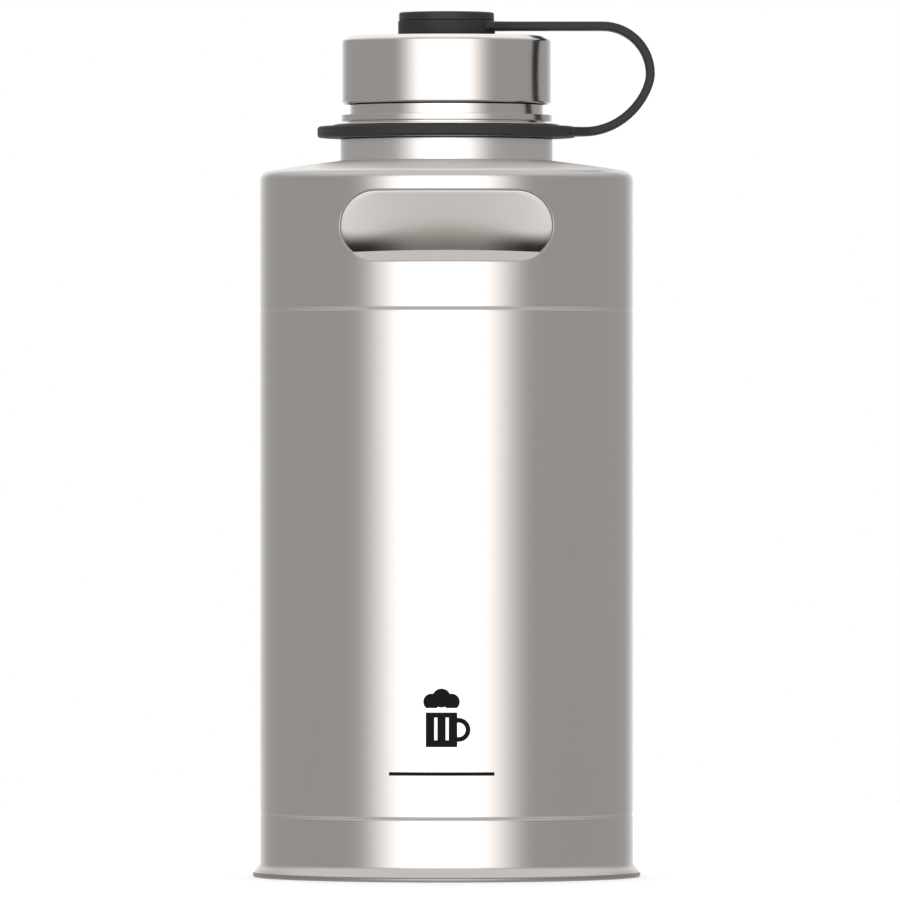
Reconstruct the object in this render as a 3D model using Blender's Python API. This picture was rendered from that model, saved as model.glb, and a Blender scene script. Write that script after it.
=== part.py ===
"""Insulated steel growler: double-wall bottle, screw lid and silicone tether.

The origin is on the bottle's axis, in the plane that the foot stands on. +Z runs up the axis,
the finger slot faces -Y, and the tether's loop points to +X. Lengths below are in millimetres.
"""
import math

import bmesh
import bpy
from mathutils import Matrix, Vector
from mathutils.geometry import interpolate_bezier

MM = 0.001
GAP = 0.3
SEGMENTS = 40
SMALL_SEGMENTS = 24
STEEL = 0.7

# Outer wall, from the foot up
BODY_R = 60.0
FOOT_R = 62.4
FOOT_INNER_R = 55.0
FOOT_H = 1.4
FOOT_BEVEL = 0.45
FLARE_R = 61.7
FLARE_Z = 4.8
PLATE_RISE_R = 52.0
PLATE_RECESS = 1.6
EVACUATION_HOLE_R = 2.0
SEAL_HEAD_R = 3.2
SEAL_HEAD_H = 0.8
COVER_R = 22.0
COVER_Z = 0.6
COVER_T = 0.6
LOWER_SEAM_Z = 19.7
UPPER_SEAM_Z = 182.7
SEAM_CHAMFER = 0.45
SHOULDER_Z = 224.0
SHOULDER_EDGE_R = 3.0
SHOULDER_SLOPE = math.radians(9.6)

# Finger slot and the pocket behind it
SLOT_HALF_W = 34.0
SLOT_HALF_H = 11.4
SLOT_Z = 208.95
POCKET_BACK_Y = -40.3
POCKET_BACK_LEAN = 0.2
POCKET_DRAFT_W = 1.0
POCKET_FLOOR_RISE = 3.4
POCKET_TOOL_REACH = 10.0

# Inner liner
LINER_R = 56.0
LINER_BOTTOM_Z = 9.0
LINER_CORNER_R = 5.0
LINER_CONE_Z = 177.5
LINER_WAIST_R = 37.5
LINER_WAIST_TOP_Z = 218.0
LINER_NECK_R = 26.7
GETTER_X = 20.0
GETTER_R = 5.0
GETTER_Z = 6.0
CLIP_T = 0.6
CLIP_FLANGE_W = 2.7

# Neck collar
NECK_R = 34.1
NECK_BOTTOM_Z = 228.5
SEAT_Z = 237.7
SEAT_H = 4.0
SEAT_R = 33.5
FLANGE_R = 36.4
FLANGE_H = 0.7
BEAD_R = 33.9
BEAD_TOP_Z = 245.2
STEP_R = 31.1
STEP_Z = 245.7
STEP_TOP_Z = 248.2
COLLAR_BORE_R = 27.0
COLLAR_SKIRT_BORE_R = 32.0
MOUTH_Z = 261.0

# Screw thread of the neck and the lid, two starts
THREAD_STARTS = 2
THREAD_LEAD = 8.0
THREAD_TURNS = 1.0
THREAD_HEIGHT = 1.5
THREAD_ROOT_WIDTH = 2.0
THREAD_CREST_WIDTH = 0.9
THREAD_RAMP_STEPS = 5
THREAD_SINK = 0.5
MALE_ROOT_R = 28.6
FEMALE_ROOT_R = 30.7
THREAD_Z = 251.4

# Lid
LID_R = 33.6
LID_Z = 248.8
LID_TOP_Z = 270.6
LID_EDGE_R = 1.6
LID_CHAMFER = 0.5
CORE_R = LID_R - STEEL - GAP
CORE_CEILING_Z = 264.6
CORE_CEILING_T = 2.2
CORE_HUB_R = 7.0
GASKET_T = 3.0
GASKET_INNER_R = 26.0
GASKET_OUTER_R = 30.2
SCREW_R = 2.0
SCREW_HEAD_R = 4.0
SCREW_HEAD_H = 2.0
WASHER_R = 5.0
WASHER_T = 0.8

# Swivel post on the lid
POST_HEAD_R = 15.3
POST_HEAD_H = 2.5
POST_TOP_Z = 278.3
POST_STEM_R = 6.0
POST_SPIGOT_R = 4.2

# Tether
EYE_R = 15.6
EYE_BORE_R = 6.4
EYE_Z = 271.0
EYE_H = 4.5
RING_R = 41.6
RING_BORE_R = 33.9
STRAP_T = 2.8
STRAP_W = 12.0
STRAP_TOP_Z = 273.85
STRAP_BEND_X = 50.2
STRAP_OUTER_X = 65.6
STRAP_OUTER_Z = 258.5
STRAP_RING_Z = 239.9
STRAP_RUN_OUT_X = 44.0
STRAP_SPLIT = 0.7
STRAP_CORNER = 0.6
CIRCLE_HANDLE = 0.5523


def clear_scene():
    for obj in list(bpy.data.objects):
        bpy.data.objects.remove(obj, do_unlink=True)


def finish(name, rgb, roughness, metallic):
    """A plain surface finish."""
    material = bpy.data.materials.new(name)
    material.use_nodes = True
    shader = material.node_tree.nodes["Principled BSDF"]
    shader.inputs["Base Color"].default_value = (*rgb, 1.0)
    shader.inputs["Roughness"].default_value = roughness
    shader.inputs["Metallic"].default_value = metallic
    return material


def frame_empty(name, z):
    """An empty on the bottle's axis that carries a group of pieces."""
    empty = bpy.data.objects.new(name, None)
    empty.location = (0.0, 0.0, z * MM)
    bpy.context.scene.collection.objects.link(empty)
    return empty


def add_piece(name, bm, look, parent, sharp_angle=30.0):
    """Turn a bmesh, given in millimetres in the bottle's frame, into a named piece."""
    bmesh.ops.remove_doubles(bm, verts=bm.verts, dist=0.001)
    bmesh.ops.recalc_face_normals(bm, faces=bm.faces)
    height = parent.location.z if parent else 0.0
    bmesh.ops.scale(bm, verts=bm.verts, vec=(MM, MM, MM))
    bmesh.ops.translate(bm, verts=bm.verts, vec=(0.0, 0.0, -height))
    mesh = bpy.data.meshes.new(name)
    bm.to_mesh(mesh)
    bm.free()
    mesh.shade_smooth()
    mesh.set_sharp_from_angle(angle=math.radians(sharp_angle))
    obj = bpy.data.objects.new(name, mesh)
    bpy.context.scene.collection.objects.link(obj)
    obj.parent = parent
    if look:
        mesh.materials.append(look)
    return obj


def add_cutter(name, bm, parent):
    """A tool body for a Boolean: it never shows."""
    cutter = add_piece(name, bm, None, parent)
    cutter.hide_render = True
    cutter.display_type = "WIRE"
    return cutter


def boolean(target, tool, operation):
    modifier = target.modifiers.new(f"{operation.lower()}_{tool.name}", "BOOLEAN")
    modifier.operation = operation
    modifier.solver = "EXACT"
    modifier.object = tool


def arc(centre_r, centre_z, radius, start_deg, end_deg, steps):
    """Points on a round stretch of a profile."""
    points = []
    for i in range(steps + 1):
        angle = math.radians(start_deg + (end_deg - start_deg) * i / steps)
        points.append((centre_r + radius * math.cos(angle), centre_z + radius * math.sin(angle)))
    return points


def offset_line(points, distance):
    """The line beside an open line, to its left, with mitred corners."""
    normals = []
    for (r0, z0), (r1, z1) in zip(points, points[1:]):
        length = math.hypot(r1 - r0, z1 - z0)
        normals.append(Vector(((z0 - z1) / length, (r1 - r0) / length)))
    moved = []
    for i, point in enumerate(points):
        before = normals[max(i - 1, 0)]
        after = normals[min(i, len(normals) - 1)]
        mitre = (before + after) / (1.0 + before.dot(after))
        moved.append(tuple(Vector(point) + mitre * distance))
    return moved


def sheet_metal(outside, thickness=STEEL):
    """The closed profile of a pressed wall whose outside runs upwards."""
    return outside + offset_line(outside, thickness)[::-1]


def turned(profile, segments=SEGMENTS):
    """Spin a profile of (radius, height) points. One that starts and ends on the axis is a disc."""
    bm = bmesh.new()
    verts = [bm.verts.new((r, 0.0, z)) for r, z in profile]
    edges = [bm.edges.new(pair) for pair in zip(verts, verts[1:])]
    on_axis = abs(profile[0][0]) < 1e-6 and abs(profile[-1][0]) < 1e-6
    if not on_axis:
        edges.append(bm.edges.new((verts[-1], verts[0])))
    bmesh.ops.spin(bm, geom=verts + edges, cent=(0, 0, 0), axis=(0, 0, 1), angle=math.tau,
                   steps=segments, use_merge=True)
    bmesh.ops.remove_doubles(bm, verts=bm.verts, dist=0.001)
    return bm


def box_profile(r0, r1, z0, z1, bevel=0.0):
    """A ring's rectangular section with its outer corners broken."""
    if not bevel:
        return [(r0, z0), (r1, z0), (r1, z1), (r0, z1)]
    return [(r0, z0), (r1 - bevel, z0), (r1, z0 + bevel), (r1, z1 - bevel), (r1 - bevel, z1), (r0, z1)]


def stadium_prism(half_w, half_h, back_half_w, back_half_h, back_rise, front_y, back_y, lean=0.0, steps=8):
    """A slot-shaped prism along Y that may narrow towards its back, which may lean out at its top."""
    def outline(w, h, rise, y, lean):
        points = []
        for side in (1, -1):
            for i in range(steps + 1):
                angle = math.pi * (i / steps - 0.5)
                x = side * (w - h + h * math.cos(angle))
                z = rise + side * h * math.sin(angle)
                points.append((x, y - lean * z, SLOT_Z + z))
        return points

    bm = bmesh.new()
    front = [bm.verts.new(p) for p in outline(half_w, half_h, 0.0, front_y, 0.0)]
    back = [bm.verts.new(p) for p in outline(back_half_w, back_half_h, back_rise, back_y, lean)]
    bm.faces.new(front)
    bm.faces.new(back)
    count = len(front)
    for i in range(count):
        j = (i + 1) % count
        bm.faces.new((front[i], front[j], back[j], back[i]))
    return bm


def thread_ridge(root_r, outward, phase):
    """One helical ridge with run-outs, its foot sunk into the wall that it stands on."""
    steps = round(SEGMENTS * THREAD_TURNS)
    bm = bmesh.new()
    rows = []
    for i in range(steps + 1):
        turn = i / SEGMENTS
        angle = math.tau * (turn + phase)
        z = THREAD_Z + THREAD_LEAD * turn
        rise = min(1.0, (i + 0.5) / THREAD_RAMP_STEPS, (steps - i + 0.5) / THREAD_RAMP_STEPS)
        root = root_r - outward * THREAD_SINK
        crest = root_r + outward * THREAD_HEIGHT * rise
        section = ((root, -THREAD_ROOT_WIDTH), (crest, -THREAD_CREST_WIDTH),
                   (crest, THREAD_CREST_WIDTH), (root, THREAD_ROOT_WIDTH))
        rows.append([bm.verts.new((r * math.cos(angle), r * math.sin(angle), z + w / 2))
                     for r, w in section])
    for row, after in zip(rows, rows[1:]):
        for k in range(4):
            m = (k + 1) % 4
            bm.faces.new((row[k], row[m], after[m], after[k]))
    bm.faces.new(rows[0])
    bm.faces.new(rows[-1])
    return bm


def add_threads(target, root_r, outward, parent):
    """The thread's ridges. Those that point inwards run midway between those that point outwards."""
    between = 0.0 if outward > 0 else 0.5 / THREAD_STARTS
    for start in range(THREAD_STARTS):
        ridge = thread_ridge(root_r, outward, start / THREAD_STARTS + between)
        tool = add_cutter(f"{target.name}_ridge_{start + 1}", ridge, parent)
        boolean(target, tool, "UNION")


def band_of(centreline, width, thickness):
    """A flat band along a line in the XZ plane, with its long corners broken."""
    outer = offset_line(centreline, thickness / 2)
    inner = offset_line(centreline, -thickness / 2)
    bm = bmesh.new()
    side = [bm.verts.new((x, -width / 2, z)) for x, z in outer + inner[::-1]]
    face = bm.faces.new(side)
    moved = bmesh.ops.extrude_face_region(bm, geom=[face])["geom"]
    verts = [v for v in moved if isinstance(v, bmesh.types.BMVert)]
    bmesh.ops.translate(bm, verts=verts, vec=(0.0, width, 0.0))
    bmesh.ops.recalc_face_normals(bm, faces=bm.faces)
    rim = [e for e in bm.edges if abs(e.verts[0].co.y - e.verts[1].co.y) < 1e-6
           and e.calc_face_angle() > math.radians(60)]
    bmesh.ops.bevel(bm, geom=rim, offset=STRAP_CORNER, segments=1, profile=0.5, affect="EDGES", material=-1)
    return bm


def make_foot(steel, vessel):
    """Foot ring, recessed base plate, and the sealed evacuation hole under its cover disc."""
    foot = box_profile(FOOT_INNER_R, FOOT_R, 0.0, FOOT_H, FOOT_BEVEL)
    add_piece("foot_ring", turned(foot), steel, vessel)

    rim_z = FOOT_H + GAP
    under_z = rim_z + PLATE_RECESS
    outside = [(BODY_R - STEEL - GAP, rim_z), (PLATE_RISE_R + 1.0, rim_z), (PLATE_RISE_R - 1.0, under_z),
               (EVACUATION_HOLE_R, under_z)]
    plate = outside + offset_line(outside, -STEEL)[::-1]
    add_piece("base_plate", turned(plate), steel, vessel)

    seat_z = under_z - GAP
    head_z = seat_z - SEAL_HEAD_H
    spigot_r = EVACUATION_HOLE_R - GAP
    spigot_z = under_z + STEEL + GAP
    plug = [(0.0, head_z), (SEAL_HEAD_R - SEAL_HEAD_H / 2, head_z), (SEAL_HEAD_R, head_z + SEAL_HEAD_H / 2),
            (SEAL_HEAD_R, seat_z), (spigot_r, seat_z), (spigot_r, spigot_z), (0.0, spigot_z)]
    add_piece("vacuum_seal_plug", turned(plug, SMALL_SEGMENTS), steel, vessel)

    rim_r = COVER_R - COVER_T
    cover = [(0.0, COVER_Z), (rim_r, COVER_Z), (COVER_R, COVER_Z + COVER_T), (COVER_R, seat_z),
             (rim_r, seat_z), (rim_r, COVER_Z + COVER_T), (0.0, COVER_Z + COVER_T)]
    add_piece("seal_cover_disc", turned(cover, SMALL_SEGMENTS), steel, vessel)


def make_outer_wall(steel, vessel):
    """Base band, middle tube and shoulder: three pressings that meet at the two seams."""
    inset = BODY_R - SEAM_CHAMFER
    low = LOWER_SEAM_Z
    high = UPPER_SEAM_Z
    half = GAP / 2
    rim_z = FOOT_H + GAP
    flare = FLARE_R - BODY_R
    band = [(FLARE_R, rim_z), (FLARE_R, rim_z + 0.3), (BODY_R + 0.5 * flare, FLARE_Z - 2.0),
            (BODY_R + 0.15 * flare, FLARE_Z - 1.0), (BODY_R, FLARE_Z),
            (BODY_R, low - half - SEAM_CHAMFER), (inset, low - half)]
    add_piece("base_band", turned(sheet_metal(band)), steel, vessel)

    tube = [(inset, low + half), (BODY_R, low + half + SEAM_CHAMFER),
            (BODY_R, high - half - SEAM_CHAMFER), (inset, high - half)]
    add_piece("outer_body_shell", turned(sheet_metal(tube)), steel, vessel)

    edge = arc(BODY_R - SHOULDER_EDGE_R, SHOULDER_Z, SHOULDER_EDGE_R, 0.0,
               90.0 - math.degrees(SHOULDER_SLOPE), 4)
    mouth_r = NECK_R + GAP
    edge_r, edge_z = edge[-1]
    mouth_z = edge_z + (edge_r - mouth_r) * math.tan(SHOULDER_SLOPE)
    shoulder = [(inset, high + half), (BODY_R, high + half + SEAM_CHAMFER)] + edge + [(mouth_r, mouth_z)]
    shell = add_piece("shoulder_shell", turned(sheet_metal(shoulder)), steel, vessel)
    hole_w = SLOT_HALF_W + GAP
    hole_h = SLOT_HALF_H + GAP
    hole = stadium_prism(hole_w, hole_h, hole_w, hole_h, 0.0, -BODY_R - POCKET_TOOL_REACH, POCKET_BACK_Y)
    boolean(shell, add_cutter("slot_hole_tool", hole, vessel), "DIFFERENCE")


def make_finger_pocket(steel, vessel):
    """A drafted pressing with a rising floor and a flat back that leans out at its top."""
    front_y = -BODY_R - POCKET_TOOL_REACH / 5
    reach_z = 2 * SLOT_HALF_H

    def prism(half_w, half_h, back_y):
        rise = POCKET_FLOOR_RISE / 2
        return stadium_prism(half_w, half_h, half_w - POCKET_DRAFT_W, half_h - rise, rise,
                             front_y, back_y, POCKET_BACK_LEAN)

    pocket = add_piece("finger_pocket", prism(SLOT_HALF_W, SLOT_HALF_H, POCKET_BACK_Y), steel, vessel)
    wall = turned(box_profile(POCKET_TOOL_REACH, BODY_R - 0.1, SLOT_Z - reach_z, SLOT_Z + reach_z))
    boolean(pocket, add_cutter("pocket_outside_tool", wall, vessel), "INTERSECT")
    hollow = prism(SLOT_HALF_W - STEEL, SLOT_HALF_H - STEEL, POCKET_BACK_Y - STEEL)
    boolean(pocket, add_cutter("pocket_hollow_tool", hollow, vessel), "DIFFERENCE")


def make_liner(steel, vessel):
    """Inner bottle that holds the beer, with the getter that keeps the vacuum round it."""
    corner = LINER_BOTTOM_Z + LINER_CORNER_R
    cone_top = LINER_CONE_Z + LINER_R - LINER_WAIST_R
    neck_z = LINER_WAIST_TOP_Z + LINER_WAIST_R - LINER_NECK_R
    outside = [(LINER_R, corner + GAP), (LINER_R, LINER_CONE_Z), (LINER_WAIST_R, cone_top),
               (LINER_WAIST_R, LINER_WAIST_TOP_Z), (LINER_NECK_R, neck_z), (LINER_NECK_R, MOUTH_Z)]
    add_piece("inner_liner", turned(sheet_metal(outside)), steel, vessel)

    dish = [(0.0, LINER_BOTTOM_Z)] + arc(LINER_R - LINER_CORNER_R, corner, LINER_CORNER_R, -90.0, 0.0, 3)
    add_piece("liner_bottom", turned(dish + offset_line(dish, STEEL)[::-1]), steel, vessel)


def make_getter(steel, dark, vessel):
    """Getter tablet in its clip, on the underside of the liner."""
    across = Matrix.Translation((GETTER_X, 0.0, 0.0))
    top = LINER_BOTTOM_Z - GAP
    tablet = turned([(0.0, GETTER_Z), (GETTER_R, GETTER_Z), (GETTER_R, top - GAP), (0.0, top - GAP)],
                    SMALL_SEGMENTS)
    bmesh.ops.transform(tablet, matrix=across, verts=tablet.verts)
    add_piece("getter_tablet", tablet, dark, vessel)
    inner_r = GETTER_R + GAP
    cup_r = inner_r + CLIP_T
    flange_r = inner_r + CLIP_FLANGE_W
    clip = turned([(inner_r, GETTER_Z), (cup_r, GETTER_Z), (cup_r, top - CLIP_T), (flange_r, top - CLIP_T),
                   (flange_r, top), (inner_r, top)], SMALL_SEGMENTS)
    bmesh.ops.transform(clip, matrix=across, verts=clip.verts)
    add_piece("getter_clip", clip, steel, vessel)


def make_neck(steel, vessel):
    """Collar with the tether's seat, the flange that keeps the ring down, and the thread."""
    seat_top = SEAT_Z + SEAT_H
    outside = [(NECK_R, NECK_BOTTOM_Z), (NECK_R, SEAT_Z - 0.3), (SEAT_R, SEAT_Z), (SEAT_R, seat_top),
               (FLANGE_R, seat_top + 0.2), (FLANGE_R, seat_top + 0.2 + FLANGE_H),
               (BEAD_R, seat_top + 0.4 + FLANGE_H), (BEAD_R, BEAD_TOP_Z), (STEP_R, STEP_Z),
               (STEP_R, STEP_TOP_Z), (MALE_ROOT_R, STEP_TOP_Z + 1.0), (MALE_ROOT_R, MOUTH_Z - 0.6),
               (MALE_ROOT_R - 0.6, MOUTH_Z)]
    cone_z = STEP_TOP_Z + 0.9
    inside = [(COLLAR_BORE_R, MOUTH_Z), (COLLAR_BORE_R, cone_z),
              (COLLAR_SKIRT_BORE_R, cone_z - COLLAR_SKIRT_BORE_R + COLLAR_BORE_R),
              (COLLAR_SKIRT_BORE_R, NECK_BOTTOM_Z)]
    collar = add_piece("neck_collar", turned(outside + inside), steel, vessel)
    add_threads(collar, MALE_ROOT_R, 1, vessel)


def make_lid(steel, plastic, foam, lid):
    """Steel cladding over a threaded plastic core, with a foam disc between them."""
    hub_hole_r = POST_SPIGOT_R + GAP
    outside = [(LID_R - LID_CHAMFER, LID_Z), (LID_R, LID_Z + LID_CHAMFER)]
    outside += arc(LID_R - LID_EDGE_R, LID_TOP_Z - LID_EDGE_R, LID_EDGE_R, 0.0, 90.0, 3)
    outside += [(hub_hole_r, LID_TOP_Z)]
    add_piece("lid_shell", turned(sheet_metal(outside)), steel, lid)

    ceiling_top = CORE_CEILING_Z + CORE_CEILING_T
    hub_top = LID_TOP_Z - STEEL - GAP
    bore_r = SCREW_R + GAP
    core = [(FEMALE_ROOT_R, LID_Z + 0.9), (FEMALE_ROOT_R + 0.4, LID_Z + 0.5), (CORE_R, LID_Z + 0.5),
            (CORE_R, ceiling_top - 1.0), (CORE_R - 1.0, ceiling_top), (CORE_HUB_R, ceiling_top),
            (CORE_HUB_R, hub_top), (bore_r, hub_top), (bore_r, CORE_CEILING_Z),
            (FEMALE_ROOT_R, CORE_CEILING_Z)]
    add_threads(add_piece("lid_core", turned(core), plastic, lid), FEMALE_ROOT_R, -1, lid)

    disc = box_profile(CORE_HUB_R + GAP, CORE_R - 1.2, ceiling_top + GAP, hub_top)
    add_piece("lid_foam_disc", turned(disc, SMALL_SEGMENTS), foam, lid)


def make_gasket(silicone, lid):
    """Silicone ring that closes on the bottle's mouth."""
    top = CORE_CEILING_Z - GAP
    ring = box_profile(GASKET_INNER_R, GASKET_OUTER_R, top - GASKET_T, top, 0.5)
    add_piece("lid_gasket", turned(ring, SMALL_SEGMENTS), silicone, lid)


def make_swivel_post(plastic, steel, lid):
    """Mushroom post that holds the tether's eye, with the screw and washer inside the lid."""
    head_z = POST_TOP_Z - POST_HEAD_H
    foot_z = LID_TOP_Z + GAP
    spigot_z = LID_TOP_Z - STEEL
    bore_r = SCREW_R + GAP
    bore_top = head_z + 1.0
    post = [(0.0, POST_TOP_Z)] + arc(POST_HEAD_R - 0.8, POST_TOP_Z - 0.8, 0.8, 90.0, 0.0, 2)
    post += [(POST_HEAD_R, head_z), (POST_STEM_R, head_z), (POST_STEM_R, foot_z), (POST_SPIGOT_R, foot_z),
             (POST_SPIGOT_R, spigot_z), (bore_r, spigot_z), (bore_r, bore_top), (0.0, bore_top)]
    add_piece("swivel_post", turned(post, SMALL_SEGMENTS), plastic, lid)

    washer_z = CORE_CEILING_Z - GAP - WASHER_T
    washer = box_profile(bore_r, WASHER_R, washer_z, washer_z + WASHER_T)
    add_piece("screw_washer", turned(washer, SMALL_SEGMENTS), steel, lid)

    head_top = washer_z - GAP
    screw = [(0.0, head_top - SCREW_HEAD_H), (SCREW_HEAD_R - 0.8, head_top - SCREW_HEAD_H),
             (SCREW_HEAD_R, head_top - SCREW_HEAD_H + 0.8), (SCREW_HEAD_R, head_top), (SCREW_R, head_top),
             (SCREW_R, bore_top - GAP), (0.0, bore_top - GAP)]
    add_piece("post_screw", turned(screw, SMALL_SEGMENTS), steel, lid)


def strap_line():
    """The strap's middle line as (x, z) points: along the top, round the bend, and back to the neck."""
    drop = STRAP_TOP_Z - STRAP_OUTER_Z
    reach = STRAP_OUTER_X - STRAP_BEND_X
    top = (STRAP_BEND_X, STRAP_TOP_Z)
    bight = (STRAP_OUTER_X, STRAP_OUTER_Z)
    low = (STRAP_RUN_OUT_X, STRAP_RING_Z)
    upper = (top, (STRAP_BEND_X + reach * CIRCLE_HANDLE, STRAP_TOP_Z),
             (STRAP_OUTER_X, STRAP_OUTER_Z + drop * CIRCLE_HANDLE), bight)
    lower = (bight, (STRAP_OUTER_X, STRAP_OUTER_Z - 6.0), (STRAP_RUN_OUT_X + 14.0, STRAP_RING_Z), low)

    def curve(knots, count):
        points = interpolate_bezier(*[Vector((x, z, 0.0)) for x, z in knots], count)
        return [(p.x, p.y) for p in points]

    return curve(upper, 9), curve(lower, 10)


def make_tether(silicone, ring_frame, eye_frame):
    """Silicone band: a ring round the neck, an eye round the post, and the strap between them."""
    upper, lower = strap_line()
    band = box_profile(RING_BORE_R, RING_R, SEAT_Z + 0.25, SEAT_Z + SEAT_H - 0.15, 0.9)
    add_piece("tether_neck_ring", turned(band), silicone, ring_frame)
    lower[0] = (lower[0][0], lower[0][1] - STRAP_SPLIT)
    run_in = [(RING_R + GAP, STRAP_RING_Z)]
    low_strap = band_of((lower + run_in)[::-1], STRAP_W, STRAP_T)
    add_piece("strap_lower", low_strap, silicone, ring_frame)

    high_strap = band_of([(EYE_R + GAP, STRAP_TOP_Z)] + upper, STRAP_W, STRAP_T)
    add_piece("strap_upper", high_strap, silicone, eye_frame)
    eye = [(EYE_BORE_R, EYE_Z), (EYE_R - 0.6, EYE_Z), (EYE_R, EYE_Z + 0.6), (EYE_R, EYE_Z + EYE_H - 0.4),
           (EYE_R - 0.4, EYE_Z + EYE_H), (EYE_BORE_R, EYE_Z + EYE_H)]
    add_piece("tether_eye", turned(eye, SMALL_SEGMENTS), silicone, eye_frame)


def make_growler():
    clear_scene()
    steel = finish("satin_steel", (0.60, 0.58, 0.56), 0.25, 1.0)
    black_plastic = finish("black_plastic", (0.035, 0.035, 0.037), 0.45, 0.0)
    silicone = finish("black_silicone", (0.055, 0.055, 0.056), 0.6, 0.0)
    foam = finish("white_foam", (0.85, 0.85, 0.82), 0.9, 0.0)
    getter = finish("getter_metal", (0.25, 0.24, 0.23), 0.6, 1.0)

    vessel = frame_empty("vessel_frame", 0.0)
    lid = frame_empty("lid_frame", LID_Z)
    ring_frame = frame_empty("tether_ring_frame", SEAT_Z)
    eye_frame = frame_empty("tether_eye_frame", EYE_Z)

    make_foot(steel, vessel)
    make_outer_wall(steel, vessel)
    make_finger_pocket(steel, vessel)
    make_liner(steel, vessel)
    make_getter(steel, getter, vessel)
    make_neck(steel, vessel)
    make_lid(steel, black_plastic, foam, lid)
    make_gasket(silicone, lid)
    make_swivel_post(black_plastic, steel, lid)
    make_tether(silicone, ring_frame, eye_frame)


make_growler()
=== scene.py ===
"""Looks of an insulated steel growler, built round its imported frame.

Each section's lengths are in millimetres. A piece turns into metres when it is finished.
"""

import math

import bmesh
import bpy
from mathutils import Matrix, Vector
from mathutils.geometry import interpolate_bezier


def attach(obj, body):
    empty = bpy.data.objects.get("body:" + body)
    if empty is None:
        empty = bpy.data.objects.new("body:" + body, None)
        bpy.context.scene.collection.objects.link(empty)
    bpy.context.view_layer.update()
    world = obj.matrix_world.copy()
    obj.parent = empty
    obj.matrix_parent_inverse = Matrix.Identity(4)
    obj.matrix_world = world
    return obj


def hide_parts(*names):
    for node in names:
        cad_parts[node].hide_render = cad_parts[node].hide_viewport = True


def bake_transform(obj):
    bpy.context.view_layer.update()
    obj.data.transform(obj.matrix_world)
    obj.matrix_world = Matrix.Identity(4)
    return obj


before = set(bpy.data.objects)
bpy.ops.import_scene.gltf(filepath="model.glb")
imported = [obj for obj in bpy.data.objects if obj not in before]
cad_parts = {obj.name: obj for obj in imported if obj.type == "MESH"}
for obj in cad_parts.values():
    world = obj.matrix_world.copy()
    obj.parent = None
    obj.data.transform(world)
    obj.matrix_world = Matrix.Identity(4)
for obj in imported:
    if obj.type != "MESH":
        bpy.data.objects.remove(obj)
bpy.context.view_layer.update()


# Foot ring: the flat steel ring that the bottle stands on, a thin lip wider than the wall.
# It is pressed from sheet, its edge rolled round, and it is brushed on the lathe with the wall.

class Wire:
    """One output of a node. Sums on it add Math nodes to the same tree."""

    def __init__(self, nodes, socket):
        self.nodes = nodes
        self.socket = socket

    def out(self, name):
        """Another output of the same node."""
        return Wire(self.nodes, self.socket.node.outputs[name])

    def maths(self, operation, *values):
        return self.nodes.add("ShaderNodeMath", {"operation": operation}, dict(enumerate(values)))

    def __add__(self, other):
        return self.maths("ADD", self, other)

    def __sub__(self, other):
        return self.maths("SUBTRACT", self, other)

    def __rsub__(self, other):
        return self.maths("SUBTRACT", other, self)

    def __mul__(self, other):
        return self.maths("MULTIPLY", self, other)

    def __pow__(self, other):
        return self.maths("POWER", self, other)

    def __abs__(self):
        return self.maths("ABSOLUTE", self)

    __radd__ = __add__
    __rmul__ = __mul__


class Nodes:
    """A node tree and the one way to add a node to it."""

    def __init__(self, owner):
        owner.use_nodes = True
        self.tree = owner.node_tree

    def fill(self, node, sockets):
        for name, value in sockets.items():
            if isinstance(value, Wire):
                self.tree.links.new(value.socket, node.inputs[name])
            else:
                node.inputs[name].default_value = value

    def add(self, kind, settings=None, sockets=None, output=0):
        node = self.tree.nodes.new(kind)
        for name, value in (settings or {}).items():
            setattr(node, name, value)
        self.fill(node, sockets or {})
        return Wire(self, node.outputs[output])

    def place(self):
        """Where a point lies on the object, as its x, y and z in metres."""
        spot = self.add("ShaderNodeTexCoord", output="Object")
        x = self.add("ShaderNodeSeparateXYZ", sockets={0: spot})
        return x, x.out("Y"), x.out("Z")

    def noise(self, x, y, z, detail=2.0, roughness=0.5):
        spot = self.add("ShaderNodeCombineXYZ", sockets={0: x, 1: y, 2: z})
        return self.add("ShaderNodeTexNoise", sockets={
            "Vector": spot, "Scale": 1.0, "Detail": detail, "Roughness": roughness})

    def fade(self, value, low, high):
        """0 below low, 1 above high and a smooth step between; low above high turns it round."""
        return self.add("ShaderNodeMapRange", {"interpolation_type": "SMOOTHSTEP"}, {
            "Value": value, "From Min": low, "From Max": high})

    def blend(self, share, first, second):
        return self.add("ShaderNodeMix", {"data_type": "RGBA"}, {0: share, 6: first, 7: second}, 2)

    def bump(self, height, distance, strength=1.0):
        return self.add("ShaderNodeBump", sockets={
            "Height": height, "Distance": distance, "Strength": strength})


def rgb(red, green, blue):
    return red, green, blue, 1.0


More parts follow.
